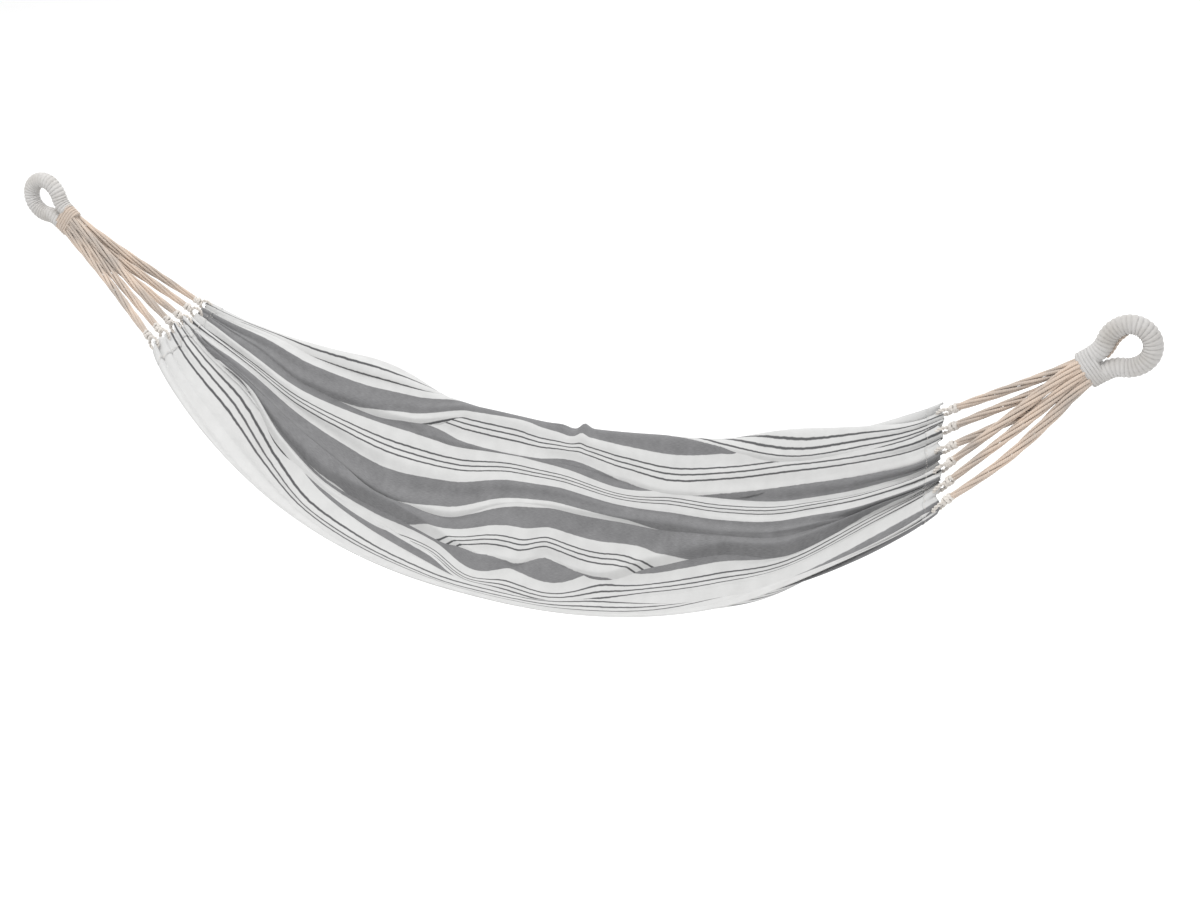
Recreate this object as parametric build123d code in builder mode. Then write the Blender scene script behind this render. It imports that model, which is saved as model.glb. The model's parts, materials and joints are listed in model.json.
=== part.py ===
"""Cotton hammock hung by two whipped eyes, as one assembly of separate pieces.

Frame: millimetres, +Z up. The origin is the point of the left eye that rests on its hook, +X runs level
to the right eye's hook point, and +Y is the far side of the bed, behind somebody who stands in front.

Two bodies: the hanging eyes (root) and the sling, which is everything below the throats of the eyes.
The sling swings about the level line through both throats.
"""
import os
from math import cos, pi, radians, sin, tan

from build123d import *

os.makedirs("parts", exist_ok=True)

# ---------------------------------------------------------------- driving dimensions
SPAN = 2420.0  # hook point to hook point
EYE_SLOPE = 39.0  # degrees, each eye and its clew point down towards the bed

CORE_D = 20.0  # rope bundle inside an eye
SERVED_D = 35.0  # the same bundle with its whipping
EYE_LENGTH = 126.0  # throat to the centre line of the crown
EYE_HALF_WIDTH = 38.0  # centre line of the widest place
NECK_END = 44.1  # throat to where the legs start to part
SHOULDER = 71.82  # throat to where they are as far apart as they get
SHOULDER_RADIUS = 46.0
CROWN_RADIUS = 37.5
EYE_RADII = [SHOULDER_RADIUS, SHOULDER_RADIUS, CROWN_RADIUS, CROWN_RADIUS, SHOULDER_RADIUS, SHOULDER_RADIUS]
LEG_PITCH = 36.0  # centre to centre of the two legs in the throat
SEIZING_LENGTH = 26.0
SEIZING_START = 2.0  # the core ends stand this far out of the seizing
FIT = 0.2  # play of a core in its whipping and its seizing

CORDS_PER_END = 6
CORD_D = 14.0
ARC_SHARE = 0.45  # how much of its shorter run each arc of a cord's centre line takes

HEM_LENGTH = 30.0
HEM_THICKNESS = 10.0
BED_THICKNESS = 8.0
EYELET_D = 14.0
EYELET_FROM_EDGE = 13.0
RING_RADIUS = 13.5  # centre line of a tie ring
RING_TUBE_D = 8.0
KNOT_D = 22.0
KNOT_LENGTH = 20.0
KNOT_FILLET = 3.5
SEIZING_FILLET = 3.0

# ---------------------------------------------------------------- shape of the bed
# A thread of the bed is named by u: 0 is the near selvage, 1 the far one. A place along it is named by s:
# 0 is the left hem and 1 the right hem. A cross-section stands on an upright plane, slightly skewed in plan.
LEFT_HEM_X = 362.0
RIGHT_HEM_X = 2100.0
LEFT_SKEW = -0.095  # how much x changes with y in the left hem's plane
RIGHT_SKEW = -0.30
LEFT_HEM = ((-121, -279), (131, -260))  # (y, z) of its near and far corners
RIGHT_HEM = ((-52, -372), (63, -196))
MID_SECTION = (  # u and (y, z) half-way along the bed, from the near selvage over the ridge to the far one
    (0.00, -285, -612),
    (0.13, -230, -645),
    (0.33, -105, -685),
    (0.58, 75, -577),
    (0.80, 190, -470),
    (0.90, 230, -455),
    (1.00, 262, -557),
)
NEAR_FULLNESS = 2.3  # exponent of the sag curve of the near selvage, 2 is a parabola
FAR_FULLNESS = 1.93
NEAR_LEAN = 0.93  # below 1 the deepest place is left of the middle, above 1 it is right of it
FAR_LEAN = 1.1
BED_STATIONS = (0.10, 0.24, 0.38, 0.50, 0.62, 0.76, 0.90)
SMALL_STEP = 0.001  # of s or u, for the cloth's direction at a place

# ---------------------------------------------------------------- routes of the clew cords
# From the throat to the knot, the near cord first. The cords leave the throat in two rows of three, keep
# together for a third of the way and then fan out. The lowest cord on the right hangs a little slack.
CLEW_ROUTES = {
    "left": (
        ((83, -8, -89), (168, -29, -149), (259, -61, -206), (345, -93, -262)),
        ((94, -8, -76), (174, -17, -139), (260, -37, -200), (341, -54, -258)),
        ((104, -8, -63), (183, -9, -124), (262, -13, -192), (339, -16, -252)),
        ((83, 8, -89), (166, 10, -147), (250, 18, -200), (333, 25, -252)),
        ((94, 8, -76), (173, 20, -136), (252, 43, -191), (331, 63, -246)),
        ((104, 8, -63), (181, 31, -124), (256, 67, -184), (330, 100, -242)),
    ),
    "right": (
        ((2337, -8, -89), (2273, -21, -182), (2203, -34, -268), (2132, -43, -332)),
        ((2326, -8, -76), (2262, -13, -156), (2195, -20, -231), (2127, -24, -304)),
        ((2316, -8, -63), (2250, -9, -136), (2187, -9, -206), (2122, -5, -275)),
        ((2337, 8, -89), (2267, 8, -149), (2194, 12, -202), (2120, 15, -251)),
        ((2326, 8, -76), (2257, 14, -127), (2186, 25, -174), (2115, 33, -221)),
        ((2316, 8, -63), (2246, 18, -108), (2179, 34, -150), (2110, 50, -193)),
    ),
}

SIDES = {"left": 1, "right": -1}  # the way along X from each eye towards the bed
FAR_SIDE = Vector(0, 1, 0)


def lerp(start, end, share):
    """The number a share of the way from start to end."""
    return start + (end - start) * share


# ---------------------------------------------------------------- places on the bed
def section_x(s):
    """Where the plane of the cross-section at s crosses the XZ plane."""
    return lerp(LEFT_HEM_X, RIGHT_HEM_X, s)


def section_plane(s):
    """Upright plane of the cross-section at s, its own x towards the far side and its own y up."""
    skew = lerp(LEFT_SKEW, RIGHT_SKEW, s)
    return Plane(origin=(section_x(s), 0, 0), x_dir=(skew, 1, 0), z_dir=(1, -skew, 0))


def cloth_yz(s, knot):
    """(y, z) at s of the thread that goes through one knot (u, y, z) of the middle section."""
    u, mid_y, mid_z = knot
    fullness = lerp(NEAR_FULLNESS, FAR_FULLNESS, u)
    sag = 1 - abs(2 * s ** lerp(NEAR_LEAN, FAR_LEAN, u) - 1) ** fullness
    place = []
    for axis, middle in ((0, mid_y), (1, mid_z)):
        left = lerp(LEFT_HEM[0][axis], LEFT_HEM[1][axis], u)
        right = lerp(RIGHT_HEM[0][axis], RIGHT_HEM[1][axis], u)
        place.append(lerp(left, right, s) + sag * (middle - (left + right) / 2))
    return place


def middle_knot(u):
    """The middle section's (u, y, z) at any u, in straight steps between its knots."""
    for first, last in zip(MID_SECTION, MID_SECTION[1:]):
        if u <= last[0]:
            share = (u - first[0]) / (last[0] - first[0])
            return tuple(lerp(a, b, share) for a, b in zip(first, last))
    return MID_SECTION[-1]


def cloth_point(s, u):
    """Point of the cloth's middle surface."""
    y, z = cloth_yz(s, middle_knot(u))
    skew = lerp(LEFT_SKEW, RIGHT_SKEW, s)
    return Vector(section_x(s) + skew * y, y, z)


def cloth_section(s, thickness):
    """Closed strip of cloth across the bed at s, a spline through the knots on each face."""
    plane = section_plane(s)
    stretch = Vector(lerp(LEFT_SKEW, RIGHT_SKEW, s), 1, 0).length
    spine = [Vector(y * stretch, z) for y, z in (cloth_yz(s, knot) for knot in MID_SECTION)]
    faces = {-1: [], 1: []}
    for index, point in enumerate(spine):
        before = spine[max(index - 1, 0)]
        after = spine[min(index + 1, len(spine) - 1)]
        along = (after - before).normalized()
        for face in faces:
            faces[face].append(point + Vector(-along.Y, along.X) * face * thickness / 2)
    with BuildSketch(plane) as section:
        with BuildLine():
            under = Spline(*faces[-1])
            over = Spline(*faces[1])
            Line(under @ 0, over @ 0)
            Line(under @ 1, over @ 1)
        make_face()
    return section.sketch


def hem_edge(side):
    """s of the outer edge of a hem and of the line where its double cloth ends."""
    outer = 0.0 if side == "left" else 1.0
    step = SMALL_STEP * SIDES[side]
    per_step = (cloth_point(outer + step, 0.5) - cloth_point(outer, 0.5)).length
    return outer, outer + step * HEM_LENGTH / per_step


# ---------------------------------------------------------------- places at an eye
def clew_direction(side):
    return Vector(SIDES[side] * cos(radians(EYE_SLOPE)), 0, -sin(radians(EYE_SLOPE)))


def throat_point(side):
    """Where the two legs of an eye end, straight below its hook point along the slope."""
    hook = Vector(0 if side == "left" else SPAN, 0, 0)
    return hook + clew_direction(side) * (EYE_LENGTH - SERVED_D / 2)


def eye_plane(side):
    """Plane of an eye's loop: its own x from the throat to the crown, its own y to the upper leg."""
    return Plane(origin=throat_point(side), x_dir=-clew_direction(side), z_dir=FAR_SIDE * SIDES[side])


def eye_outline(start):
    """Corners of the loop's centre line from one leg round the crown to the other leg."""
    leg = LEG_PITCH / 2
    return (
        (start, -leg),
        (NECK_END, -leg),
        (SHOULDER, -EYE_HALF_WIDTH),
        (EYE_LENGTH, -EYE_HALF_WIDTH),
        (EYE_LENGTH, EYE_HALF_WIDTH),
        (SHOULDER, EYE_HALF_WIDTH),
        (NECK_END, leg),
        (start, leg),
    )


# ---------------------------------------------------------------- the eyes
def make_eye(side):
    """Core, whipping and throat seizing of one eye."""
    loop_plane = eye_plane(side)

    with BuildPart() as eye_core:
        with BuildLine(loop_plane):
            core_line = FilletPolyline(*eye_outline(0), radius=EYE_RADII)
        with BuildSketch(Plane(origin=core_line @ 0, z_dir=core_line % 0)):
            Circle(CORE_D / 2)
        sweep(path=core_line)
    finish_piece(eye_core, f"eye_core_{side}")

    whipping_start = SEIZING_START + SEIZING_LENGTH
    with BuildPart() as eye_whipping:
        with BuildLine(loop_plane):
            served_line = FilletPolyline(*eye_outline(whipping_start), radius=EYE_RADII)
        with BuildSketch(Plane(origin=served_line @ 0, z_dir=served_line % 0)):
            Circle(SERVED_D / 2)
            Circle(CORE_D / 2 + FIT, mode=Mode.SUBTRACT)
        sweep(path=served_line)
    finish_piece(eye_whipping, f"eye_whipping_{side}")

    seizing_plane = Plane(
        origin=throat_point(side) - clew_direction(side) * SEIZING_START,
        x_dir=loop_plane.y_dir,
        z_dir=loop_plane.x_dir,
    )
    with BuildPart() as throat_seizing:
        with BuildSketch(seizing_plane):
            SlotCenterToCenter(LEG_PITCH, SERVED_D)
        extrude(amount=SEIZING_LENGTH)
        fillet(throat_seizing.edges(), radius=SEIZING_FILLET)
        with BuildSketch(seizing_plane):
            with Locations((-LEG_PITCH / 2, 0), (LEG_PITCH / 2, 0)):
                Circle(CORE_D / 2 + FIT)
        extrude(amount=SEIZING_LENGTH, mode=Mode.SUBTRACT)
    finish_piece(throat_seizing, f"throat_seizing_{side}")


# ---------------------------------------------------------------- the clews
def corner_radii(route):
    """The largest arcs that the runs of a route allow, one for each inner point."""
    radii = []
    points = [Vector(*point) for point in route]
    for before, corner, after in zip(points, points[1:], points[2:]):
        turn = (corner - before).get_angle(after - corner)
        run = min((corner - before).length, (after - corner).length)
        radii.append(ARC_SHARE * run / tan(radians(turn / 2)))
    return radii


def eyelet_frame(side, number):
    """Centre of an eyelet, the way its cord pulls and the way through the hem square to that."""
    u = (number + 0.5) / CORDS_PER_END
    outer, inner = hem_edge(side)
    edge = cloth_point(outer, u)
    thread = (cloth_point(inner, u) - edge).normalized()
    eyelet = edge + thread * EYELET_FROM_EDGE
    across = (cloth_point(outer, u + SMALL_STEP) - cloth_point(outer, u - SMALL_STEP)).normalized()
    pull = (Vector(*CLEW_ROUTES[side][number][-1]) - eyelet).normalized()
    face = across.cross(thread)
    through = (face - pull * face.dot(pull)).normalized()
    return eyelet, pull, through


def ring_plane(side, number):
    """Plane of a tie ring, which goes through its eyelet and round the outer edge of the hem."""
    eyelet, pull, through = eyelet_frame(side, number)
    return Plane(origin=eyelet + pull * RING_RADIUS, x_dir=pull, z_dir=pull.cross(through))


def make_clew_cord(side, number):
    """One cord section, the knot at its lower end and the tie ring that the knot holds."""
    name = f"{side}_{number + 1}"
    route = [Vector(*point) for point in CLEW_ROUTES[side][number]]
    radii = corner_radii(route)

    with BuildPart() as clew_cord:
        with BuildLine():
            centre_line = FilletPolyline(*route, radius=radii)
        with BuildSketch(Plane(origin=centre_line @ 0, z_dir=centre_line % 0)):
            Circle(CORD_D / 2)
        sweep(path=centre_line)
    finish_piece(clew_cord, f"clew_cord_{name}")
    tube = pi * CORD_D**2 / 4 * centre_line.length
    print(
        f"clew_cord_{name}: length {centre_line.length:.1f} mm, radii",
        [round(radius) for radius in radii],
        f"volume / (section x length) {clew_cord.part.volume / tube:.4f}",
    )

    ring_place = ring_plane(side, number)
    with BuildPart(ring_place) as tie_ring:
        Torus(RING_RADIUS, RING_TUBE_D / 2)
    finish_piece(tie_ring, f"tie_ring_{name}")

    with BuildPart() as clew_knot:
        with BuildSketch(Plane(origin=route[-1], z_dir=route[-1] - route[-2])):
            Circle(KNOT_D / 2)
        extrude(amount=KNOT_LENGTH)
        fillet(clew_knot.edges(), radius=KNOT_FILLET)
        with Locations(ring_place.location):
            Torus(RING_RADIUS, RING_TUBE_D / 2 + FIT, mode=Mode.SUBTRACT)
    finish_piece(clew_knot, f"clew_knot_{name}")


# ---------------------------------------------------------------- the cloth
def make_hem(side):
    """Gathered hem at one end of the bed, with an eyelet for each cord."""
    outer, inner = hem_edge(side)
    ends = [cloth_section(s, HEM_THICKNESS) for s in (outer, inner)]
    with BuildPart() as end_hem:
        loft(sections=ends)
        for number in range(CORDS_PER_END):
            eyelet, _, through = eyelet_frame(side, number)
            with Locations(Plane(origin=eyelet, z_dir=through).location):
                Cylinder(EYELET_D / 2, 3 * HEM_THICKNESS, mode=Mode.SUBTRACT)
    finish_piece(end_hem, f"end_hem_{side}")


def make_bed():
    """The single sheet of the bed, from hem to hem."""
    stations = (hem_edge("left")[1], *BED_STATIONS, hem_edge("right")[1])
    sections = [cloth_section(s, BED_THICKNESS) for s in stations]
    with BuildPart() as fabric_bed:
        loft(sections=sections)
    finish_piece(fabric_bed, "fabric_bed")


def finish_piece(builder, name):
    """Label a finished piece and write it out."""
    builder.part.label = name
    export_step(builder.part, f"parts/{name}.step")


make_bed()
for end in SIDES:
    make_hem(end)
    make_eye(end)
    for cord_number in range(CORDS_PER_END):
        make_clew_cord(end, cord_number)
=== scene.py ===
"""Looks of a cotton hammock that hangs by two whipped eyes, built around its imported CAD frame. Metres."""
import json
import math

import bpy
import numpy as np
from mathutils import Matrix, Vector


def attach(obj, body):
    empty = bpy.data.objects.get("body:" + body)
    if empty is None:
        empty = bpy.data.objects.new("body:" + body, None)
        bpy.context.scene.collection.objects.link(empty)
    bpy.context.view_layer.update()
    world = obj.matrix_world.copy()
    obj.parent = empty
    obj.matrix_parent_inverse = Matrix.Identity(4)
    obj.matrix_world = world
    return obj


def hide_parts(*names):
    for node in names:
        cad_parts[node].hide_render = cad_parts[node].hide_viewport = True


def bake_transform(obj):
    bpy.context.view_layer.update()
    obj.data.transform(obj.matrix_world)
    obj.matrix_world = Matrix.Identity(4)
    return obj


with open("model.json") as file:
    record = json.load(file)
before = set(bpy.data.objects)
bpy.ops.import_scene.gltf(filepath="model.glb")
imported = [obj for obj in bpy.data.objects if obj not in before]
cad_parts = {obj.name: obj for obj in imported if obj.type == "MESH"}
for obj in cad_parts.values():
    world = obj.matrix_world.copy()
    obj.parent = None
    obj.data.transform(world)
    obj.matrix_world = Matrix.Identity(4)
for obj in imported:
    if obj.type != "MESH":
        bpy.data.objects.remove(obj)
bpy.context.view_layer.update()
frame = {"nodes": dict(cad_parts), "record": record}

# ---------------------------------------------------------------- sizes shared with the CAD part
SIDES = {"left": 1, "right": -1}  # the way along X from each eye towards the bed
HOOKS = {mount["name"].removesuffix("_eye"): Vector(mount["pos_m"]) for mount in frame["record"]["mounts"]}
EYE_SLOPE = math.radians(39)
EYE_LENGTH = 0.126  # from the throat to the crown's centre line
EYE_HALF_WIDTH = 0.038  # to the loop's centre line
LEG_PITCH = 0.036  # between the centre lines of the eye's two legs
SERVED_D = 0.035  # the whipped rope
SEIZING_START = 0.002  # from the throat towards the crown
SEIZING_LENGTH = 0.026
HEM_LENGTH = 0.030
RING_RADIUS = 0.0135
KNOT_LENGTH = 0.020

HEM_X = {"left": 0.362, "right": 2.100}  # at Y 0
HEM_SKEW = {"left": -0.095, "right": -0.30}  # how X changes with Y along the hem
HEM_YZ = {  # each hem's near and far end
    "left": ((-0.121, -0.279), (0.131, -0.260)),
    "right": ((-0.052, -0.372), (0.063, -0.196)),
}
MID_SECTION = (  # half-way between the hems: share of the way across, Y and Z
    (0.00, -0.285, -0.612),
    (0.13, -0.230, -0.645),
    (0.33, -0.105, -0.685),
    (0.58, 0.075, -0.577),
    (0.80, 0.190, -0.470),
    (0.90, 0.230, -0.455),
    (1.00, 0.262, -0.557),
)
FULLNESS = 2.3, 1.93  # how broad the sag is along the bed: at the near and the far selvage
SAG_LEAN = 0.93, 1.1  # below 1 its deepest place lies left of half-way, above 1 right of it

CLEW_ROUTES = {
    "left": (
        ((0.083, -0.008, -0.089), (0.168, -0.029, -0.149), (0.259, -0.061, -0.206), (0.345, -0.093, -0.262)),
        ((0.094, -0.008, -0.076), (0.174, -0.017, -0.139), (0.260, -0.037, -0.200), (0.341, -0.054, -0.258)),
        ((0.104, -0.008, -0.063), (0.183, -0.009, -0.124), (0.262, -0.013, -0.192), (0.339, -0.016, -0.252)),
        ((0.083, 0.008, -0.089), (0.166, 0.010, -0.147), (0.250, 0.018, -0.200), (0.333, 0.025, -0.252)),
        ((0.094, 0.008, -0.076), (0.173, 0.020, -0.136), (0.252, 0.043, -0.191), (0.331, 0.063, -0.246)),
        ((0.104, 0.008, -0.063), (0.181, 0.031, -0.124), (0.256, 0.067, -0.184), (0.330, 0.100, -0.242)),
    ),
    "right": (
        ((2.337, -0.008, -0.089), (2.273, -0.021, -0.182), (2.203, -0.034, -0.268), (2.132, -0.043, -0.332)),
        ((2.326, -0.008, -0.076), (2.262, -0.013, -0.156), (2.195, -0.020, -0.231), (2.127, -0.024, -0.304)),
        ((2.316, -0.008, -0.063), (2.250, -0.009, -0.136), (2.187, -0.009, -0.206), (2.122, -0.005, -0.275)),
        ((2.337, 0.008, -0.089), (2.267, 0.008, -0.149), (2.194, 0.012, -0.202), (2.120, 0.015, -0.251)),
        ((2.326, 0.008, -0.076), (2.257, 0.014, -0.127), (2.186, 0.025, -0.174), (2.115, 0.033, -0.221)),
        ((2.316, 0.008, -0.063), (2.246, 0.018, -0.108), (2.179, 0.034, -0.150), (2.110, 0.050, -0.193)),
    ),
}


def each_cord():
    """The side, the number from 0 and the route of every clew cord."""
    for side, routes in CLEW_ROUTES.items():
        for number, route in enumerate(routes):
            yield side, number, route


def clew_direction(side):
    return Vector((SIDES[side] * math.cos(EYE_SLOPE), 0, -math.sin(EYE_SLOPE)))


def throat_point(side):
    return HOOKS[side] + clew_direction(side) * (EYE_LENGTH - SERVED_D / 2)


# ---------------------------------------------------------------- curves of one value
def lerp(start, end, share):
    return start + (end - start) * share


def smooth(low, high, value):
    """0 below low, 1 above high, and an even curve between them."""
    share = np.clip((value - low) / (high - low), 0, 1)
    return share * share * (3 - 2 * share)


def bump(value, middle, half):
    """1 at the middle, falling smoothly to almost 0 at twice the half width."""
    return np.exp(-(((value - middle) / half) ** 2))


def natural_spline(knots, values, wanted):
    """A natural cubic spline through the knots."""
    n = len(knots)
    step = np.diff(knots)
    system, right = np.zeros((n, n)), np.zeros(n)
    system[0, 0] = system[-1, -1] = 1
    for i in range(1, n - 1):
        system[i, i - 1 : i + 2] = step[i - 1], 2 * (step[i - 1] + step[i]), step[i]
        right[i] = 6 * ((values[i + 1] - values[i]) / step[i] - (values[i] - values[i - 1]) / step[i - 1])
    bend = np.linalg.solve(system, right)
    i = np.clip(np.searchsorted(knots, wanted) - 1, 0, n - 2)
    a, b = (knots[i + 1] - wanted) / step[i], (wanted - knots[i]) / step[i]
    cubic = (a**3 - a) * bend[i] + (b**3 - b) * bend[i + 1]
    return a * values[i] + b * values[i + 1] + cubic * step[i] ** 2 / 6


def even_curve(knots, values, wanted):
    """A smooth curve through the knots that never goes beyond two neighbours (Fritsch and Carlson)."""
    knots = np.array(knots)
    step = np.diff(knots)
    rise = np.diff(values) / step
    slope = np.zeros(len(knots))
    same_way = rise[1:] * rise[:-1] > 0
    slope[1:-1][same_way] = 2 / (1 / rise[1:][same_way] + 1 / rise[:-1][same_way])
    i = int(np.clip(np.searchsorted(knots, wanted) - 1, 0, len(knots) - 2))
    t = (wanted - knots[i]) / step[i]
    start = (1 + 2 * t) * (1 - t) ** 2 * values[i] + t * (1 - t) ** 2 * step[i] * slope[i]
    return start + t * t * (3 - 2 * t) * values[i + 1] + t * t * (t - 1) * step[i] * slope[i + 1]


# ---------------------------------------------------------------- lines through space
def nurbs_line(points, steps_per_point=24):
    """Points read along the smooth spline that has these control points."""
    curve = bpy.data.curves.new("route", "CURVE")
    curve.dimensions = "3D"
    curve.resolution_u = steps_per_point
    spline = curve.splines.new("NURBS")
    spline.points.add(len(points) - 1)
    for control, place in zip(spline.points, points):
        control.co = (*place, 1)
    spline.order_u = 3
    spline.use_endpoint_u = True
    carrier = bpy.data.objects.new("route", curve)
    bpy.context.scene.collection.objects.link(carrier)
    mesh = bpy.data.meshes.new_from_object(carrier)
    line = np.array([vertex.co for vertex in mesh.vertices])
    bpy.data.objects.remove(carrier)
    bpy.data.curves.remove(curve)
    bpy.data.meshes.remove(mesh)
    return line


def rounded_line(corners, radii, steps=12):
    """The corners' line with tangent arcs of the given radii."""
    line = [corners[0]]
    for before, corner, after, radius in zip(corners, corners[1:], corners[2:], radii):
        way_in, way_out = (corner - before).normalized(), (after - corner).normalized()
        turn = way_in.angle(way_out)
        start = corner - way_in * (radius * math.tan(turn / 2))
        inward = (way_out - way_in * way_out.dot(way_in)).normalized()
        centre = start + inward * radius
        for step in range(steps + 1):
            angle = turn * step / steps
            line.append(centre - inward * radius * math.cos(angle) + way_in * radius * math.sin(angle))
    line.append(corners[-1])
    return np.array([tuple(point) for point in line])


def line_lengths(line):
    """How far along the line each of its points is."""
    return np.concatenate([[0], np.cumsum(np.linalg.norm(np.diff(line, axis=0), axis=1))])


def read_along(lengths, values, wanted):
    """The line's values at the wanted lengths along it."""
    return np.stack([np.interp(wanted, lengths, values[:, axis]) for axis in range(3)], 1)


def resample(line, count):
    """The same line with the given number of evenly spaced points."""
    lengths = line_lengths(line)
    return read_along(lengths, line, np.linspace(0, lengths[-1], count))


def resample_steps(line, spacing):
    """The same line in even steps of about the given length."""
    return resample(line, max(int(round(line_lengths(line)[-1] / spacing)), 8) + 1)


def line_frames(line, closed=False):
    """Two unit normals at each point of a line, which don't twist about it."""
    if closed:
        tangents = np.roll(line, -1, 0) - np.roll(line, 1, 0)
    else:
        tangents = np.gradient(line, axis=0)
    tangents /= np.linalg.norm(tangents, axis=1)[:, None]
    seed = np.array([0.0, 1.0, 0.0]) if abs(tangents[0][1]) < 0.8 else np.array([1.0, 0.0, 0.0])
    normal = seed - tangents[0] * (seed @ tangents[0])
    normals = []
    for tangent in tangents:
        normal = normal - tangent * (normal @ tangent)
        normal /= np.linalg.norm(normal)
        normals.append(normal)
    normals = np.array(normals)
    return normals, np.cross(tangents, normals)


def helix_about(line, radius, turns, phase=0.0, closed=False):
    """A line that winds round another one."""
    side, up = line_frames(line, closed)
    angle = np.linspace(0, 2 * math.pi * turns, len(line), endpoint=not closed) + phase
    return line + radius * (np.cos(angle)[:, None] * side + np.sin(angle)[:, None] * up)


# ---------------------------------------------------------------- meshes
def new_mesh(name, points, faces, uv, material):
    """A smooth-shaded mesh object in the shared frame, with one UV pair for each point."""
    mesh = bpy.data.meshes.new(name)
    mesh.from_pydata([tuple(p) for p in points], [], [tuple(f) for f in faces])
    mesh.shade_smooth()
    layer = mesh.uv_layers.new(name="thread")
    corner_point = np.zeros(len(mesh.loops), np.int32)
    mesh.loops.foreach_get("vertex_index", corner_point)
    layer.data.foreach_set("uv", np.asarray(uv, np.float32)[corner_point].ravel())
    mesh.materials.append(material)
    piece = bpy.data.objects.new(name, mesh)
    bpy.context.scene.collection.objects.link(piece)
    return piece


def apply_modifiers(piece):
    bpy.context.view_layer.update()
    depsgraph = bpy.context.evaluated_depsgraph_get()
    mesh = bpy.data.meshes.new_from_object(piece.evaluated_get(depsgraph))
    piece.modifiers.clear()
    piece.data = mesh


def grid_faces(rows, columns, closed_rows=False, closed_columns=False):
    """Quads of a grid of points listed row by row."""
    faces = []
    for i in range(rows if closed_rows else rows - 1):
        below = (i + 1) % rows
        for j in range(columns if closed_columns else columns - 1):
            right = (j + 1) % columns
            quad = ((i, j), (i, right), (below, right), (below, j))
            faces.append(tuple(row * columns + column for row, column in quad))
    return faces


def tube_faces(rings, sides, closed=False):
    """Quads round a tube, and its two end caps if it is open."""
    faces = grid_faces(rings, sides, closed_rows=closed, closed_columns=True)
    if not closed:
        faces.append(tuple(reversed(range(sides))))
        faces.append(tuple(range((rings - 1) * sides, rings * sides)))
    return faces


def join_parts(name, parts, material):
    """One object from several lists of points, faces and UVs."""
    points, faces, uv, first = [], [], [], 0
    for part_points, part_faces, part_uv in parts:
        points.append(part_points)
        uv.append(part_uv)
        faces.extend(tuple(index + first for index in face) for face in part_faces)
        first += len(part_points)
    return new_mesh(name, np.concatenate(points), faces, np.concatenate(uv), material)


YARN_LOBES = 3  # plies of each yarn


def plied_tube(line, radius, sides, lay=0.020, groove=0.208, phase=0.0, closed=False):
    """Points, faces and UVs of one twisted yarn: a lobed section that turns as it follows the line.

    The grooves between its lobes are the given share of the radius deep.
    """
    side, up = line_frames(line, closed)
    along = line_lengths(line)
    angles = np.linspace(0, 2 * math.pi, sides, endpoint=False)
    radii = np.broadcast_to(radius, len(line))
    points, uv = [], []
    for i, centre in enumerate(line):
        turned = angles - 2 * math.pi * along[i] / lay - phase
        lobed = radii[i] * (1 - groove * (1 - np.abs(np.cos(turned * YARN_LOBES / 2))))
        spoke = np.cos(angles)[:, None] * side[i] + np.sin(angles)[:, None] * up[i]
        points.append(centre + lobed[:, None] * spoke)
        uv.append(np.stack([angles / (2 * math.pi), np.full(sides, along[i])], 1))
    return np.concatenate(points), tube_faces(len(line), sides, closed), np.concatenate(uv)


def wound_tube(line, section, pitch, depth):
    """A tube of the given flat section along a line, covered by touching turns of cord."""
    side, up = line_frames(line)
    along = line_lengths(line)
    angles = np.arange(len(section)) / len(section)
    outward = section / np.linalg.norm(section, axis=1)[:, None]
    points, uv = [], []
    for i, centre in enumerate(line):
        place = (along[i] / pitch - angles) % 1.0
        flat = section - outward * (depth * (1 - np.sqrt(1 - (2 * place - 1) ** 2)))[:, None]
        points.append(centre + flat[:, :1] * side[i] + flat[:, 1:] * up[i])
        uv.append(np.stack([place, angles * np.linalg.norm(section[0]) * 2 * math.pi + along[i]], 1))
    return np.concatenate(points), tube_faces(len(line), len(section)), np.concatenate(uv)


# ---------------------------------------------------------------- nodes
def node_material(name):
    material = bpy.data.materials.new(name)
    material.use_nodes = True
    return material, material.node_tree


def add_node(tree, kind, links=None, **values):
    """A node with its properties set, and its sockets set or fed by the given outputs."""
    node = tree.nodes.new(kind)
    for key, value in values.items():
        setattr(node, key, value)
    for socket, source in (links or {}).items():
        if isinstance(source, bpy.types.NodeSocket):
            tree.links.new(source, node.inputs[socket])
        else:
            node.inputs[socket].default_value = source
    return node


def math_node(tree, operation, first, second=0.0, third=None):
    links = {0: first, 1: second}
    if third is not None:
        links[2] = third
    return add_node(tree, "ShaderNodeMath", links, operation=operation).outputs[0]


def noise_node(tree, place, scale, detail):
    links = {"Vector": place, "Scale": scale, "Detail": detail}
    return add_node(tree, "ShaderNodeTexNoise", links).outputs[0]


def mix_colour(tree, factor, first, second, blend="MIX"):
    node = tree.nodes.new("ShaderNodeMix")
    node.data_type = "RGBA"
    node.blend_type = blend
    for socket, source in (("Factor", factor), ("A", first), ("B", second)):
        target = next(s for s in node.inputs if s.name == socket and s.enabled)
        if isinstance(source, bpy.types.NodeSocket):
            tree.links.new(source, target)
        elif isinstance(source, tuple):
            target.default_value = (*source, 1)
        else:
            target.default_value = source
    return next(s for s in node.outputs if s.enabled)


def darken(tree, colour, share):
    """The colour times a number that varies over the surface."""
    grey = add_node(tree, "ShaderNodeCombineColor", {0: share, 1: share, 2: share}).outputs[0]
    return mix_colour(tree, 1.0, colour, grey, "MULTIPLY")


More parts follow.
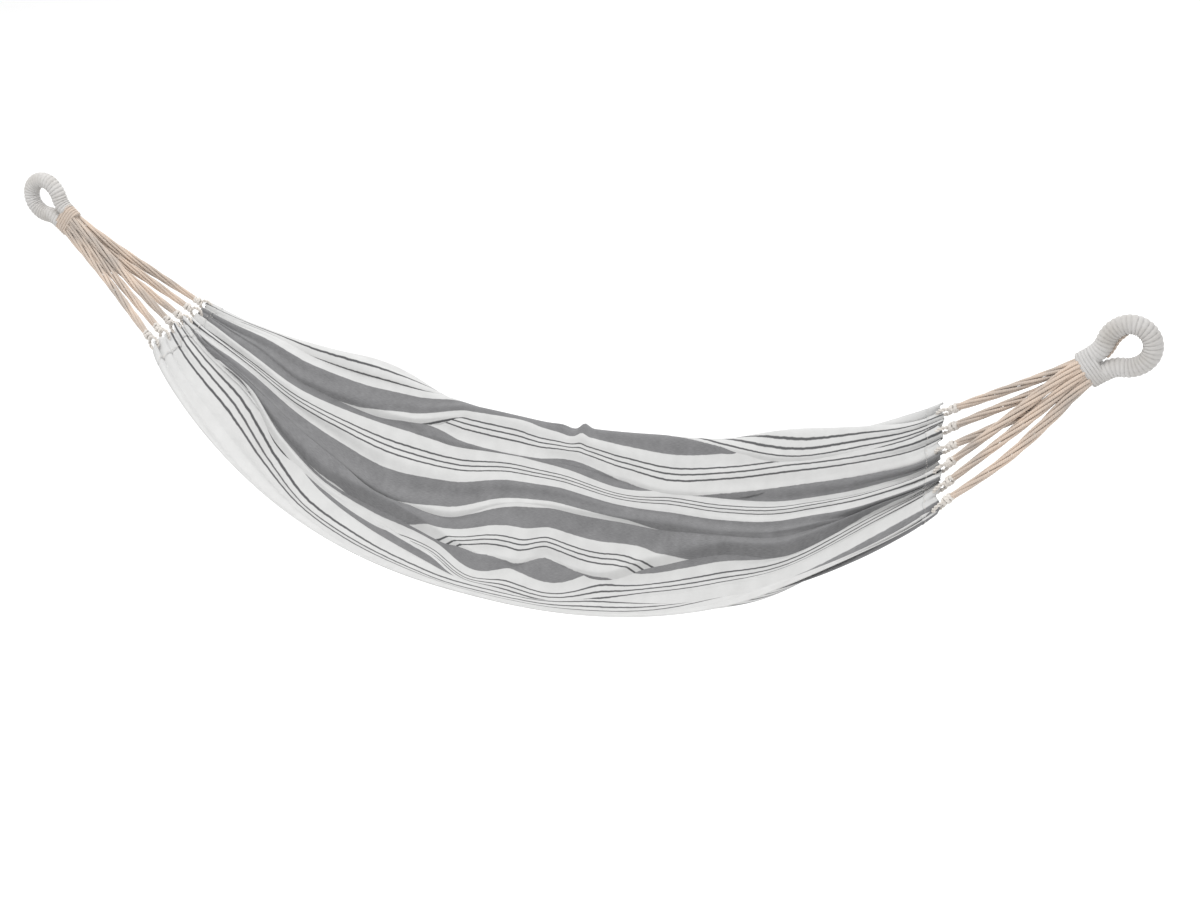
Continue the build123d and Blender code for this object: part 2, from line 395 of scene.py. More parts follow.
def set_surface(tree, colour, height, strength, distance, finish):
    """Feeds the shader its colour and bump, and sets its constant sockets."""
    shader = tree.nodes["Principled BSDF"]
    bumps = add_node(tree, "ShaderNodeBump", {"Height": height, "Strength": strength, "Distance": distance})
    tree.links.new(colour, shader.inputs["Base Color"])
    tree.links.new(bumps.outputs[0], shader.inputs["Normal"])
    for socket, value in finish.items():
        shader.inputs[socket].default_value = value


# ---------------------------------------------------------------- materials
def core_material():
    """Bare rope inside the whipping. Its CAD mesh has no thread layer, so the lay follows its own space."""
    material, tree = node_material("core_rope")
    place = add_node(tree, "ShaderNodeTexCoord").outputs["Object"]
    lay = add_node(
        tree,
        "ShaderNodeTexWave",
        {"Vector": place, "Scale": 110.0, "Distortion": 1.5, "Detail": 2.0},
        bands_direction="DIAGONAL",
    ).outputs["Fac"]
    fibre = noise_node(tree, place, 700.0, 3.0)
    shade = math_node(tree, "MULTIPLY_ADD", lay, 0.6, math_node(tree, "MULTIPLY", fibre, 0.4))
    colour = mix_colour(tree, shade, (0.46, 0.39, 0.33), (0.66, 0.56, 0.47))
    set_surface(tree, colour, shade, 0.6, 0.0008, {"Roughness": 0.9, "Specular IOR Level": 0.2})
    return material


FIBRE_LAY = 0.0042  # length of yarn in which its fibres go once round it


def cord_material(name, light, dark):
    """Soft cotton cord: mottled colour, and fine fibres that run round the yarn in a slant, with painted
    shade in the grooves between them.
    """
    material, tree = node_material(name)
    uv = add_node(tree, "ShaderNodeUVMap", uv_map="thread").outputs[0]
    place = add_node(tree, "ShaderNodeTexCoord").outputs["Object"]
    apart = add_node(tree, "ShaderNodeSeparateXYZ", {0: uv})
    turn, along = apart.outputs[0], apart.outputs[1]
    slant = math_node(tree, "ADD", math_node(tree, "DIVIDE", along, FIBRE_LAY), turn)
    ridge = math_node(tree, "SINE", math_node(tree, "MULTIPLY", slant, 2 * math.pi))
    mottle = noise_node(tree, place, 14.0, 4.0)
    fibre = noise_node(tree, place, 900.0, 3.0)
    shade = add_node(tree, "ShaderNodeMapRange", {0: mottle, 1: 0.36, 2: 0.64}).outputs[0]
    colour = mix_colour(tree, shade, dark, light)
    # Painted shade: the colour darkens where the slanted ridges sink, in step with the bump; the fine fibre
    # noise varies the tone as well.
    deep = math_node(tree, "MULTIPLY_ADD", ridge, 0.07, 0.9)
    deep = math_node(tree, "MULTIPLY_ADD", fibre, 0.16, deep)
    colour = darken(tree, colour, deep)
    height = math_node(tree, "MULTIPLY_ADD", fibre, 0.7, math_node(tree, "MULTIPLY", ridge, 0.35))
    finish = {"Roughness": 0.92, "Specular IOR Level": 0.2, "Sheen Weight": 0.25, "Sheen Roughness": 0.5}
    set_surface(tree, colour, height, 0.7, 0.0006, finish)
    return material


# Across the bed from the near selvage: wide grey bands, and between them groups of three thin dark lines.
PERIOD = 0.140
BANDS = [0.145 + PERIOD * number for number in range(6)]
BAND_WIDTH = 0.056
LINE_PITCH = 0.0125
LINE_WIDTH = 0.0036
LINES = [0.075 + PERIOD * number + LINE_PITCH * place for number in range(7) for place in (-1, 0, 1)]
STRIPE_BLUR = 0.0006  # half the width of a stripe's soft edge
STRIPE_WANDER = 0.0024  # how far the edges stray, from side to side
WARP_PITCH, WEFT_PITCH = 0.0016, 0.0018
WHITES = (0.52, 0.52, 0.515), (0.64, 0.64, 0.635)
GREYS = (0.085, 0.085, 0.088), (0.26, 0.26, 0.264)


def stripe_mask(tree, where, middles, width):
    """1 on the stripes with these middles, 0 between them."""
    mask = 0.0
    for middle in middles:
        gap = math_node(tree, "ABSOLUTE", math_node(tree, "SUBTRACT", where, middle))
        limits = {0: gap, 1: width / 2 - STRIPE_BLUR, 2: width / 2 + STRIPE_BLUR, 3: 1.0, 4: 0.0}
        stripe = add_node(tree, "ShaderNodeMapRange", limits).outputs[0]
        mask = math_node(tree, "MAXIMUM", stripe, mask)
    return mask


def cloth_material():
    """Plain-weave cotton, off-white with heathered grey bands and thin dark lines along the warp, and painted
    shade in the hollows of the weave.
    """
    material, tree = node_material("striped_cotton")
    uv = add_node(tree, "ShaderNodeUVMap", uv_map="thread").outputs[0]
    apart = add_node(tree, "ShaderNodeSeparateXYZ", {0: uv})
    across, along = apart.outputs[0], apart.outputs[1]
    wander = noise_node(tree, uv, 60.0, 2.0)
    edge = math_node(tree, "MULTIPLY_ADD", wander, STRIPE_WANDER, -STRIPE_WANDER / 2)
    where = math_node(tree, "ADD", across, edge)
    bands = stripe_mask(tree, where, BANDS, BAND_WIDTH)
    lines = stripe_mask(tree, where, LINES, LINE_WIDTH)

    warp = math_node(tree, "SINE", math_node(tree, "MULTIPLY", across, 2 * math.pi / WARP_PITCH))
    weft = math_node(tree, "SINE", math_node(tree, "MULTIPLY", along, 2 * math.pi / WEFT_PITCH))
    weave = math_node(tree, "MULTIPLY", warp, weft)
    drawn_out = add_node(
        tree, "ShaderNodeVectorMath", {0: uv, 1: (900.0, 90.0, 1.0)}, operation="MULTIPLY"
    ).outputs[0]
    slub = noise_node(tree, drawn_out, 1.0, 2.0)
    blotch = noise_node(tree, uv, 26.0, 5.0)
    white = mix_colour(tree, blotch, *WHITES)
    heather = math_node(tree, "MULTIPLY_ADD", slub, 0.7, math_node(tree, "MULTIPLY", blotch, 0.5))
    grey = mix_colour(tree, heather, *GREYS)
    colour = mix_colour(tree, bands, white, grey)
    colour = mix_colour(tree, lines, colour, GREYS[0])
    # Painted shade: the colour darkens where the weave sinks, in step with its bump. The slub term adds the
    # yarn's uneven tone.
    weave_shade_and_slub_tone = math_node(tree, "MULTIPLY_ADD", weave, 0.02, 0.97)
    weave_shade_and_slub_tone = math_node(tree, "MULTIPLY_ADD", slub, 0.06, math_node(tree, "SUBTRACT", weave_shade_and_slub_tone, 0.03))
    colour = darken(tree, colour, weave_shade_and_slub_tone)
    height = math_node(tree, "MULTIPLY_ADD", slub, 0.5, math_node(tree, "MULTIPLY", weave, 0.5))
    finish = {"Roughness": 0.95, "Specular IOR Level": 0.15, "Sheen Weight": 0.15, "Sheen Roughness": 0.6}
    set_surface(tree, colour, height, 0.45, 0.0004, finish)
    return material


# ---------------------------------------------------------------- the gathered cloth
FLAT_WIDTH = 1.0
FLAT_LENGTH = 2.0
SHEET_THICKNESS = 0.0016
HEM_THICKNESS = 0.0036  # the cloth folded over, with a little air in it
HEM_FULLNESS = 1.1  # the hem's reach along the gathered cloth, as a share of its length
HEM_ROWS = 9
SECTION_SAMPLES = 400
BED_STATIONS = np.linspace(0, 1, 261)
THREADS = np.linspace(0, 1, 381)

# Seven folds run from hem to hem, listed from the near selvage. For each, at each station along the bed: its
# place on the CAD bed's section, the last thread seen before it and the first thread seen after it. All are
# thousandths of the way across.
STATIONS = (0.0, 0.08, 0.16, 0.23, 0.30, 0.38, 0.45, 0.49, 0.53, 0.61, 0.68, 0.75, 0.84, 0.93, 1.0)
FOLDS = (
    (
        (490, 500, 400, 318, 293, 264, 210, 190, 180, 240, 200, 100, 20, 20, 20),
        (100, 100, 105, 110, 110, 105, 100, 98, 95, 95, 90, 70, 30, 20, 20),
        (195, 195, 150, 140, 135, 135, 175, 190, 190, 190, 180, 165, 158, 158, 158),
    ),
    (
        (560, 560, 425, 362, 347, 317, 240, 245, 245, 275, 295, 290, 260, 280, 270),
        (225, 235, 178, 185, 185, 185, 197, 197, 197, 197, 190, 190, 190, 190, 190),
        (310, 255, 250, 245, 240, 205, 200, 200, 200, 200, 200, 200, 200, 200, 200),
    ),
    (
        (585, 575, 475, 430, 445, 410, 360, 360, 410, 375, 435, 455, 390, 400, 360),
        (315, 285, 300, 300, 303, 303, 313, 272, 313, 245, 303, 300, 303, 262, 250),
        (450, 420, 415, 415, 440, 390, 315, 318, 315, 320, 395, 425, 425, 410, 400),
    ),
    (
        (605, 590, 525, 490, 458, 475, 540, 560, 575, 562, 542, 500, 440, 420, 380),
        (455, 430, 445, 445, 445, 465, 470, 468, 465, 460, 448, 446, 446, 440, 420),
        (600, 560, 550, 550, 545, 525, 520, 522, 525, 535, 550, 552, 556, 585, 580),
    ),
    (
        (760, 720, 680, 690, 700, 710, 715, 712, 710, 688, 655, 647, 643, 615, 558),
        (677, 677, 677, 677, 677, 685, 680, 685, 695, 727, 674, 700, 728, 728, 728),
        (677, 677, 677, 677, 677, 725, 733, 728, 715, 737, 740, 735, 733, 733, 733),
    ),
    (
        (820, 800, 740, 740, 745, 800, 810, 825, 845, 855, 840, 812, 780, 800, 830),
        (712, 710, 720, 727, 737, 790, 800, 828, 857, 865, 855, 828, 795, 795, 795),
        (835, 830, 830, 825, 800, 790, 800, 832, 873, 885, 890, 895, 900, 890, 885),
    ),
    (
        (907, 910, 875, 865, 865, 900, 948, 948, 945, 940, 930, 903, 888, 915, 920),
        (906, 906, 906, 906, 906, 920, 945, 945, 945, 945, 945, 945, 945, 945, 945),
        (924, 924, 924, 924, 924, 926, 946, 946, 946, 946, 946, 946, 946, 946, 946),
    ),
)
LAPS = (1, -1, -1, -1, -1, -1, -1)  # each fold's cloth lies over the near (-1) or the far (1) side of it
FOLD_WIDTH = 0.002  # share of the section between the threads on a fold's two sides
LEAST_HIDDEN = 0.001  # the least cloth that a fold hides, as a share of the cloth's width
SMALLEST_LOOP = 0.004  # a fold that hides less cloth than this hangs no loop
LOOP_LEAN = 66, 14  # degrees from straight down: away from the hems, at the hems
LEAN_REACH = 0.14  # how far from the hems the lean changes, as a share of the bed's length
LOOP_ROUNDNESS = 1.4
LOOP_SWEEP = 0.85  # how far a loop's end draws back from the hem, as a share of its depth
SWEEP_REACH = 0.1
LIP_PLACE = 1.1  # where the cloth bulges at a fold's mouth, in half widths of the loop from its middle
LIP_WIDTH = 0.008, 0.16  # how wide the bulge is, and how much wider for the hidden cloth
LIP_PUSH = 0.08  # how far it moves over the fold, as a share of the hidden cloth
LIP_RISE = 0.10, 0.03  # and how far it rises: away from the hems, at the hems
SOFTENING = np.array([1, 2, 3, 4, 3, 2, 1]) / 16  # weights that round the corners of the threads' places

FIRST_EYELET, EYELET_PITCH = 0.10, 0.156  # shares of the hem's length
SCALLOP_DEPTH, SCALLOP_REACH = 0.011, 0.018
BUNCH_DEPTH, BUNCH_REACH = 0.009, 0.03
PLEATS, PLEAT_DEPTH, PLEAT_REACH = 34, 0.0060, 0.055  # the tight gathers beside each hem
RIPPLES, RIPPLE_DEPTH, RIPPLE_REACH = 21, 0.0040, 0.18  # the looser ones that run on from them
WAVES = ((4.3, 1.1, 0.0050), (9.7, 2.3, 0.0030), (17.0, 3.1, 0.0016))  # waves across, waves along, height
PUCKERS, PUCKER_DEPTH = (30, 1.4), 0.0034  # on the near border: waves across and along


def section_curves(stations):
    """Points [station, sample, xyz] of the CAD bed's middle line, evenly spaced across it."""
    knots = np.array(MID_SECTION)
    u = np.linspace(0, 1, SECTION_SAMPLES)
    mid = np.stack([natural_spline(knots[:, 0], knots[:, axis], u) for axis in (1, 2)], 1)
    left, right = np.array(HEM_YZ["left"]), np.array(HEM_YZ["right"])
    left_line = left[0] + (left[1] - left[0]) * u[:, None]
    right_line = right[0] + (right[1] - right[0]) * u[:, None]
    fullness = lerp(*FULLNESS, u)
    lean = lerp(*SAG_LEAN, u)
    points = []
    for s in stations:
        sag = 1 - np.abs(2 * s**lean - 1) ** fullness
        yz = left_line * (1 - s) + right_line * s + sag[:, None] * (mid - (left_line + right_line) / 2)
        x = lerp(HEM_X["left"], HEM_X["right"], s) + lerp(HEM_SKEW["left"], HEM_SKEW["right"], s) * yz[:, 0]
        points.append(resample(np.column_stack([x, yz]), SECTION_SAMPLES))
    return np.array(points)


def fold_threads(s, u):
    """What the folds do to the threads u at s.

    Returns each thread's place as a share of the section, how far it is pushed along the section, how far
    inward, and how deep it hangs in a hidden loop.
    """
    hem_share = max(np.clip(1 - s / LEAN_REACH, 0, 1), np.clip(1 - (1 - s) / LEAN_REACH, 0, 1)) ** 1.5
    lean = math.radians(lerp(*LOOP_LEAN, hem_share))
    threads, places = [0.0], [0.0]
    along, inward, hang = np.zeros_like(u), np.zeros_like(u), np.zeros_like(u)
    for rows, laps in zip(np.array(FOLDS) / 1000, LAPS):
        place, before, after = (even_curve(STATIONS, row, s) for row in rows)
        after = max(after, before + LEAST_HIDDEN)
        threads += [before, after]
        places += [place, place + FOLD_WIDTH]
        swallowed = after - before
        if swallowed < SMALLEST_LOOP:
            continue
        middle, half = (before + after) / 2, swallowed / 2
        t = np.clip((u - middle) / half, -1, 1)
        depth = half * np.cos(t * math.pi / 2) ** LOOP_ROUNDNESS
        along += laps * math.sin(lean) * depth
        inward -= math.cos(lean) * depth
        hang += math.cos(lean) * depth
        lip = bump(u, middle - laps * half * LIP_PLACE, LIP_WIDTH[0] + LIP_WIDTH[1] * swallowed)
        along += laps * lip * swallowed * LIP_PUSH
        inward += lip * swallowed * lerp(*LIP_RISE, hem_share)
    share = np.interp(u, threads + [1.0], places + [1.0])
    spare = len(SOFTENING) // 2
    padded = np.concatenate([np.full(spare, share[0]), share, np.full(spare, share[-1])])
    return np.convolve(padded, SOFTENING, "valid"), along, inward, hang


def row_of_cloth(s, u, section):
    """Places of the threads u in the gathered cross-section at s, which follows the given line."""
    share, along, inward, hang = fold_threads(s, u)
    lengths = line_lengths(section)
    wanted = share * lengths[-1] + along
    inside = np.clip(wanted, 0, lengths[-1])
    place = read_along(lengths, section, inside)
    tangent = read_along(lengths, np.gradient(section, axis=0), inside)
    tangent /= np.linalg.norm(tangent, axis=1)[:, None]
    normal = np.cross(np.array([1.0, 0.0, 0.0]), tangent)
    normal /= np.linalg.norm(normal, axis=1)[:, None]
    inward += wrinkles(s, u) - bunches(s, share)
    pulled = place + (wanted - inside)[:, None] * tangent + inward[:, None] * normal + slack(s, u)
    from_hems = math.exp(-s / SWEEP_REACH) - math.exp(-(1 - s) / SWEEP_REACH)
    pulled[:, 0] += scallops(s, share) + LOOP_SWEEP * hang * from_hems
    return pulled


def from_eyelet(share):
    """0 at each eyelet's place on the hem, 1 half-way to the next."""
    return np.abs(2 * (((share - FIRST_EYELET) / EYELET_PITCH + 0.5) % 1.0 - 0.5))


def bunches(s, share):
    """How far the cloth sinks between the eyelets, beside each hem."""
    return BUNCH_DEPTH * from_eyelet(share) ** 2 * math.exp(-min(s, 1 - s) / BUNCH_REACH)


def scallops(s, share):
    """How far along X each hem bows back towards the bed between its eyelets."""
    bow = SCALLOP_DEPTH * from_eyelet(share) ** 2
    return bow * (math.exp(-s / SCALLOP_REACH) - math.exp(-(1 - s) / SCALLOP_REACH))


def wrinkles(s, u):
    """Gathers beside the hems, puckers on the near border and small waves all over."""
    from_hem = min(s, 1 - s)
    drift = 0.6 * np.sin(9 * u + 2 * s) + 0.4 * np.sin(23 * u)  # spaces the gathers unevenly
    pleats = 1 - 2 * (1 - np.abs(np.sin(math.pi * (PLEATS * u + drift)))) ** 1.7
    gathers = PLEAT_DEPTH * math.exp(-from_hem / PLEAT_REACH) * pleats
    ripples = np.sin(2 * math.pi * (RIPPLES * u + drift))
    gathers += RIPPLE_DEPTH * math.exp(-from_hem / RIPPLE_REACH) * ripples
    waves = np.zeros_like(u)
    for number, (across, along, height) in enumerate(WAVES):
        phase = 2 * math.pi * (across * u + along * s + 0.37 * number) + 1.3 * math.sin(5 * s)
        waves += height * np.sin(phase)
    border = PUCKER_DEPTH * bump(u, 0.045, 0.04) * bump(s, 0.2, 0.2)
    border *= np.sin(2 * math.pi * (PUCKERS[0] * u + PUCKERS[1] * s))
    return gathers + border + waves * (0.45 + 0.55 * bump(from_hem, 0.15, 0.2))


def slack(s, u):
    """Larger places where spare cloth lifts: a hump, a kink on the ridge and the far selvage's two lobes.

    Each has its height, and the middle and the half width of its place along and across the bed.
    """
    hump = 0.016 * bump(s, 0.475, 0.045) * bump(u, 0.38, 0.16)
    dip = 0.010 * bump(s, 0.56, 0.05) * bump(u, 0.30, 0.12)
    kink = (0.011 * bump(s, 0.545, 0.007) - 0.008 * bump(s, 0.528, 0.012)) * bump(u, 0.86, 0.07)
    lobes = 0.9 * bump(s, 0.26, 0.11) + 0.5 * bump(s, 0.78, 0.12)
    flare = smooth(0.90, 1.0, u) * lobes
    return np.stack([np.zeros_like(u), 0.02 * flare, hump - dip + kink + 0.085 * flare], 1)


def cloth_surface(stations):
    """Points [station, thread, xyz] of the gathered sheet."""
    return np.array([row_of_cloth(s, THREADS, line) for s, line in zip(stations, section_curves(stations))])


def new_sheet(name, stations, thickness, material):
    """A stretch of the cloth as a mesh, with its threads' places in the flat cloth as UVs."""
    points = cloth_surface(stations)
    uv = np.zeros((*points.shape[:2], 2))
    uv[..., 0] = THREADS * FLAT_WIDTH
    uv[..., 1] = stations[:, None] * FLAT_LENGTH
    faces = grid_faces(*points.shape[:2])
    sheet = new_mesh(name, points.reshape(-1, 3), faces, uv.reshape(-1, 2), material)
    solid = sheet.modifiers.new("thickness", "SOLIDIFY")
    solid.thickness = thickness
    solid.offset = 0
    apply_modifiers(sheet)
    return sheet


def make_cloth(material):
    cloth = new_sheet("cotton_bed", BED_STATIONS, SHEET_THICKNESS, material)
    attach(cloth, "sling")
    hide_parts("fabric_bed")


# ---------------------------------------------------------------- the hems
STITCH_RADIUS = 0.0006
STITCH_HEIGHT = 0.52  # from the middle of the hem, as a share of its thickness
STITCH_DIP = 0.0007  # how far each stitch's ends sink into the cloth
STITCH_PITCH = 3  # threads of the mesh from one stitch to the next


def hem_stations(side):
    """Stations from the cloth's end to the hem's inner edge."""
    reach = np.linspace(0, HEM_LENGTH / FLAT_LENGTH * HEM_FULLNESS, HEM_ROWS)
    return reach if side == "left" else 1 - reach


def make_hem(side, material):
    """The doubled band at one end of the sheet."""
    hem = new_sheet(f"hem_{side}", hem_stations(side), HEM_THICKNESS, material)
    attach(hem, "sling")
    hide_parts(f"end_hem_{side}")
    return hem


def make_hem_stitches(side, material):
    """A row of stitches on both faces of the hem, along its inner edge."""
    seam, edge = cloth_surface(hem_stations(side)[-2:])
    out = np.cross(np.gradient(seam, axis=0), edge - seam)
    out /= np.linalg.norm(out, axis=1)[:, None]
    stitches = []
    for start in range(2, len(THREADS) - 4, STITCH_PITCH):
        for face in (1, -1):
            held = slice(start, start + STITCH_PITCH)
            stitch = seam[held] + face * out[held] * HEM_THICKNESS * STITCH_HEIGHT
            stitch[0] -= face * out[start] * STITCH_DIP
            stitch[-1] -= face * out[start + STITCH_PITCH - 1] * STITCH_DIP
            stitches.append(plied_tube(stitch, STITCH_RADIUS, 6, groove=0.0))
    row = join_parts(f"hem_stitches_{side}", stitches, material)
    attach(row, "sling")


# ---------------------------------------------------------------- clew cords
STRANDS = 6  # yarns that run side by side in each cord
STRAND_SPREAD = 0.0068, 0.0040  # their distance from the cord's middle: at the throat, at the knot
STRAND_RADIUS = 0.0034, 0.0030
STRAND_LAY = 0.019
STRAND_STEP = 0.0025
CORD_LAY = 0.32  # length of cord in which the yarns go once round it
THROAT_REACH = 0.014  # how far each cord runs on into the seizing


def make_clew_cord(side, number, route, material):
    """A cord of twisted yarns, spread near the throat and tight at the knot."""
    name = f"{side}_{number + 1}"
    start = Vector(route[0]) - clew_direction(side) * THROAT_REACH
    line = resample_steps(nurbs_line([start, *[Vector(point) for point in route]]), STRAND_STEP)
    length = float(line_lengths(line)[-1])
    share = np.linspace(0, 1, len(line))
    parts = []
    for strand in range(STRANDS):
        phase = 2 * math.pi * strand / STRANDS + number * 0.9
        unevenness = 1 + 0.12 * np.sin(7 * share + 2.1 * strand + number)
        spread = lerp(*STRAND_SPREAD, share**4) * unevenness
        winding = helix_about(line, spread[:, None], length / CORD_LAY, phase)
        radius = lerp(*STRAND_RADIUS, share)
        parts.append(plied_tube(winding, radius, 10, lay=STRAND_LAY, phase=number + strand))
    cord = join_parts(f"cord_{name}", parts, material)
    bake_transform(cord)
    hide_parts(f"clew_cord_{name}")


# ---------------------------------------------------------------- the eyes
LEG_END, SHOULDER = 0.35, 0.57  # where the legs begin to part and where they are widest, as shares of the eye
LOOP_RADII = (0.046, 0.046, 0.0375, 0.0375, 0.046, 0.046)
WHIPPING_PITCH, WHIPPING_DEPTH = 0.0072, 0.0030
SEIZING_TURNS, SEIZING_DEPTH = 5, 0.0032
SEIZING_OVERLAP = 0.004  # how far the whipping reaches under the seizing
SEIZING_SPILL = 0.003, 0.001  # how far the seizing's turns run past its CAD solid: at the cords, at the loop
SEIZING_FIT = 0.98  # its width as a share of its CAD solid's
SEIZING_SQUARENESS = 1.6  # how soon its flat sides pass into its round ends
SEIZING_ROWS = 61
ROUND_ANGLES = np.linspace(0, 2 * math.pi, 44, endpoint=False)
INNER_YARN, INNER_WINDING, INNER_TURNS, INNER_LAY = 0.0019, 0.0016, 4, 0.010
INNER_STEP = 0.0015
INNER_STRAND_ROUTE = (  # towards the crown from the throat, and across from the eye's middle
    (0.044, 0.002),
    (0.058, 0.0065),
    (0.068, 0.0125),
    (0.081, 0.0185),
    (0.095, 0.0192),
    (0.106, 0.0260),
)


def eye_axes(side):
    """The way from the throat to the crown, and the way across the eye."""
    return -clew_direction(side), Vector((SIDES[side] * math.sin(EYE_SLOPE), 0, math.cos(EYE_SLOPE)))


def eye_points(side, places):
    """Points in the shared frame, from places towards the crown and across the eye."""
    crown_way, across = eye_axes(side)
    return [throat_point(side) + crown_way * c + across * a for c, a in places]


def make_whipping(side, material):
    """The tight turns of cord round the loop."""
    leg = LEG_PITCH / 2
    first_half = [
        (SEIZING_START + SEIZING_LENGTH - SEIZING_OVERLAP, -leg),
        (EYE_LENGTH * LEG_END, -leg),
        (EYE_LENGTH * SHOULDER, -EYE_HALF_WIDTH),
        (EYE_LENGTH, -EYE_HALF_WIDTH),
    ]
    outline = eye_points(side, first_half + [(c, -a) for c, a in reversed(first_half)])
    centre = resample_steps(rounded_line(outline, LOOP_RADII), WHIPPING_PITCH / 9)
    circle = np.stack([np.cos(ROUND_ANGLES), np.sin(ROUND_ANGLES)], 1) * SERVED_D / 2
    turns = wound_tube(centre, circle, WHIPPING_PITCH, WHIPPING_DEPTH)
    whipping = join_parts(f"whipping_{side}", [turns], material)
    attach(whipping, "hanging_eyes")
    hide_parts(f"eye_whipping_{side}")


def make_seizing(side, material):
    """The binding that ties the eye's legs and the cords together."""
    crown_way, across = eye_axes(side)
    first, last = SEIZING_START - SEIZING_SPILL[0], SEIZING_START + SEIZING_LENGTH + SEIZING_SPILL[1]
    steps = np.linspace(first, last, SEIZING_ROWS)
    line = np.array([tuple(throat_point(side) + crown_way * step) for step in steps])
    first_side, first_up = (normals[0] for normals in line_frames(line))
    wide = np.array([first_side @ np.array(across), first_up @ np.array(across)])
    thin = np.array([-wide[1], wide[0]])
    section = []
    for turn in ROUND_ANGLES:
        shift = LEG_PITCH / 2 * np.clip(SEIZING_SQUARENESS * math.cos(turn), -1, 1)
        section.append(wide * (shift + math.cos(turn) * SERVED_D / 2) + thin * math.sin(turn) * SERVED_D / 2)
    pitch = (steps[-1] - steps[0]) / SEIZING_TURNS
    turns = wound_tube(line, np.array(section) * SEIZING_FIT, pitch, SEIZING_DEPTH)
    seizing = join_parts(f"seizing_{side}", [turns], material)
    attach(seizing, "hanging_eyes")
    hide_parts(f"throat_seizing_{side}")


def make_inner_strand(side, material):
    """The bare two-yarn strand that shows inside the eye, along its upper leg."""
    line = resample_steps(nurbs_line(eye_points(side, INNER_STRAND_ROUTE)), INNER_STEP)
    parts = []
    for yarn in range(2):
        winding = helix_about(line, INNER_WINDING, INNER_TURNS, math.pi * yarn)
        parts.append(plied_tube(winding, INNER_YARN, 9, lay=INNER_LAY, phase=yarn))
    strand = join_parts(f"inner_strand_{side}", parts, material)
    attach(strand, "hanging_eyes")


# ---------------------------------------------------------------- ties at the hems
TIE_YARN, TIE_WINDING, TIE_TURNS, TIE_LAY = 0.0021, 0.0019, 5, 0.0105
TIE_SHAPE = 1.02, 0.92  # the loop's length along the pull and its width, as shares of its ring's
TIE_STEPS = 64
KNOT_YARN, KNOT_WINDING, KNOT_LAY = 0.0036, 0.0062, 0.016
KNOT_TURNS = 2.6, -1.7  # of its two yarns, which wind opposite ways
KNOT_SPAN = -0.004, KNOT_LENGTH * 0.92  # from the cord's end
KNOT_STEPS = 60


def make_tie(side, number, route, material):
    """The two-yarn loop through a cord's eyelet."""
    name = f"{side}_{number + 1}"
    ring_points = np.array([vertex.co for vertex in frame["nodes"][f"tie_ring_{name}"].data.vertices])
    centre = (ring_points.max(0) + ring_points.min(0)) / 2
    axis = np.linalg.svd(ring_points - ring_points.mean(0), full_matrices=False)[2][2]
    pull = np.array(route[-1]) - centre
    pull /= np.linalg.norm(pull)
    through = np.cross(axis, pull)
    turn = np.linspace(0, 2 * math.pi, TIE_STEPS, endpoint=False)[:, None]
    long, wide = TIE_SHAPE
    loop = centre + RING_RADIUS * (np.cos(turn) * pull * long + np.sin(turn) * through * wide)
    parts = []
    for yarn in range(2):
        winding = helix_about(loop, TIE_WINDING, TIE_TURNS, math.pi * yarn, closed=True)
        parts.append(plied_tube(winding, TIE_YARN, 9, lay=TIE_LAY, closed=True))
    tie = join_parts(f"tie_{name}", parts, material)
    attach(tie, "sling")
    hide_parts(f"tie_ring_{name}")


def make_knot(side, number, route, material):
    """The knot between a cord and its tie."""
    name = f"{side}_{number + 1}"
    start = np.array(route[-1])
    way = start - np.array(route[-2])
    way /= np.linalg.norm(way)
    core = start + way * np.linspace(*KNOT_SPAN, KNOT_STEPS)[:, None]
    bulge = np.sin(np.linspace(0.25, math.pi - 0.25, KNOT_STEPS)) ** 0.6
    parts = []
    for yarn, turns in enumerate(KNOT_TURNS):
        winding = helix_about(core, KNOT_WINDING * bulge[:, None], turns, number + yarn * 2.0)
        parts.append(plied_tube(winding, KNOT_YARN, 9, lay=KNOT_LAY, phase=yarn))
    knot = join_parts(f"knot_{name}", parts, material)
    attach(knot, "sling")
    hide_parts(f"clew_knot_{name}")


# ---------------------------------------------------------------- camera and room
def make_camera():
    """A 50 mm lens that looks down along the hammock from its near side, the right end closer."""
    azimuth, elevation, distance = math.radians(25), math.radians(23.1), 3.388
    target = Vector((1.4036, 0, -0.3872))
    level = math.cos(elevation)
    back = Vector((math.sin(azimuth) * level, -math.cos(azimuth) * level, math.sin(elevation)))
    camera = bpy.data.objects.new("camera", bpy.data.cameras.new("camera"))
    camera.data.lens = 50.04
    camera.data.sensor_width = 36
    camera.location = target + back * distance
    camera.rotation_euler = (-back).to_track_quat("-Z", "Y").to_euler()
    bpy.context.scene.collection.objects.link(camera)
    bpy.context.scene.camera = camera


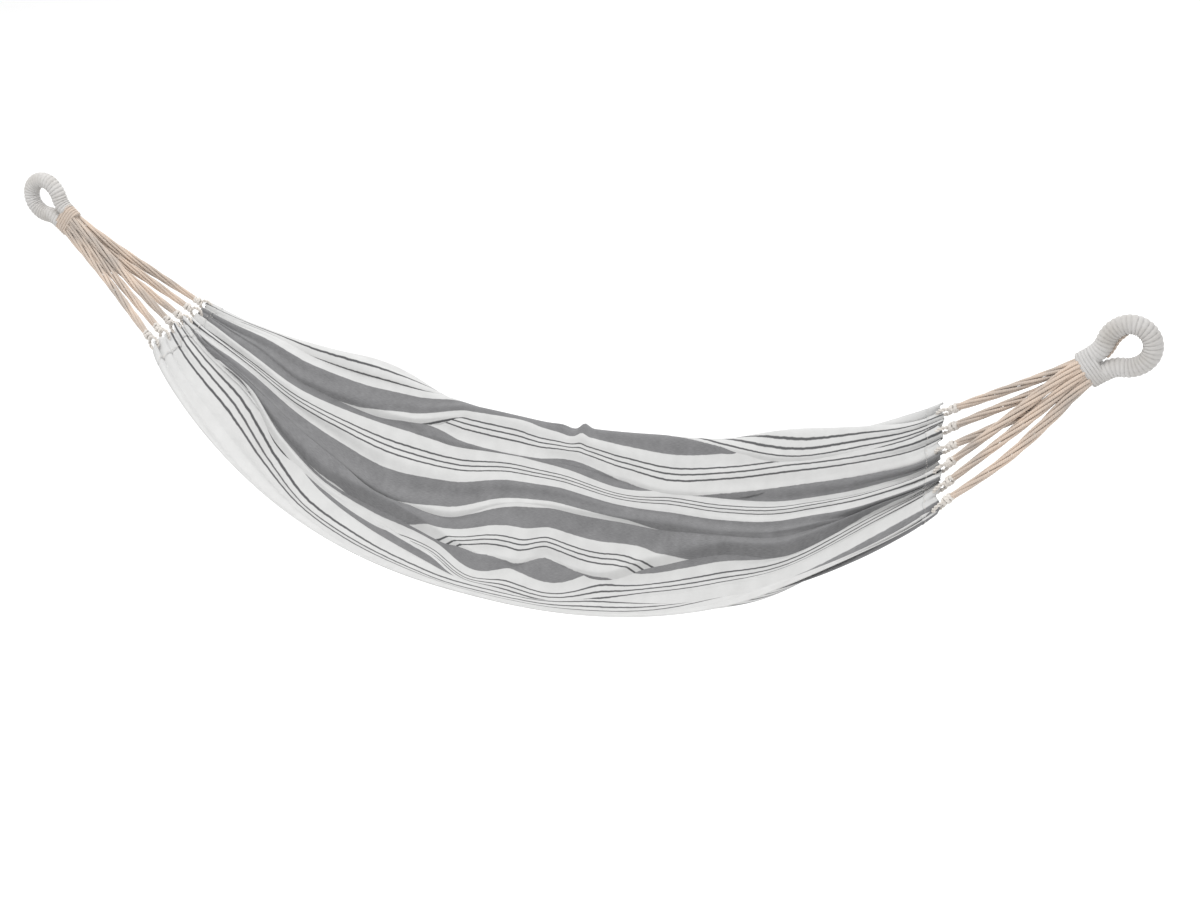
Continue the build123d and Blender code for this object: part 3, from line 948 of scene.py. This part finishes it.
def make_floor():
    material, tree = node_material("floor_paint")
    paint = tree.nodes["Principled BSDF"]
    paint.inputs["Base Color"].default_value = (0.95, 0.95, 0.95, 1)
    paint.inputs["Roughness"].default_value = 0.9
    bpy.ops.mesh.primitive_plane_add(size=60, location=(1.2, 0, -1.9))
    floor = bpy.context.object
    floor.name = "floor"
    floor.data.materials.append(material)


def make_light():
    world = bpy.data.worlds.new("studio")
    world.use_nodes = True
    sky = world.node_tree.nodes["Background"]
    sky.inputs["Color"].default_value = (1, 1, 1, 1)
    sky.inputs["Strength"].default_value = 0.9
    bpy.context.scene.world = world
    bpy.context.scene.view_settings.view_transform = "Standard"
    add_area_light("key", (0.3, -1.2, 3.0), (1.2, 0, -0.5), 1.6, 62)
    add_area_light("floor_wash", (1.2, 12.0, 6.0), (1.2, 10.0, -1.9), 16.0, 900)
    add_area_light("fill", (3.6, -3.0, 1.4), (1.4, 0, -0.4), 2.5, 18)


def add_area_light(name, place, target, size, power):
    lamp = bpy.data.lights.new(name, "AREA")
    lamp.size = size
    lamp.energy = power
    light = bpy.data.objects.new(name, lamp)
    light.location = place
    light.rotation_euler = (Vector(target) - Vector(place)).to_track_quat("-Z", "Y").to_euler()
    bpy.context.scene.collection.objects.link(light)


# ---------------------------------------------------------------- the whole model
make_camera()
natural_cord = cord_material("natural_cord", light=(0.63, 0.515, 0.425), dark=(0.44, 0.385, 0.34))
grey_cord = cord_material("grey_cord", light=(0.565, 0.555, 0.545), dark=(0.45, 0.43, 0.405))
pale_cord = cord_material("pale_cord", light=(0.72, 0.68, 0.63), dark=(0.56, 0.53, 0.50))
for side, number, route in each_cord():
    make_clew_cord(side, number, route, natural_cord)
for side, seizing_cord in (("left", natural_cord), ("right", grey_cord)):
    make_whipping(side, grey_cord)
    make_seizing(side, seizing_cord)
for side in SIDES:
    make_inner_strand(side, natural_cord)
for side, number, route in each_cord():
    make_tie(side, number, route, pale_cord)
    make_knot(side, number, route, pale_cord)
striped_cotton = cloth_material()
for side in SIDES:
    make_hem(side, striped_cotton)
    make_hem_stitches(side, pale_cord)
make_cloth(striped_cotton)
core_rope = core_material()
for side in SIDES:
    core = frame["nodes"][f"eye_core_{side}"]
    core.data.materials.clear()
    core.data.materials.append(core_rope)
make_floor()
make_light()
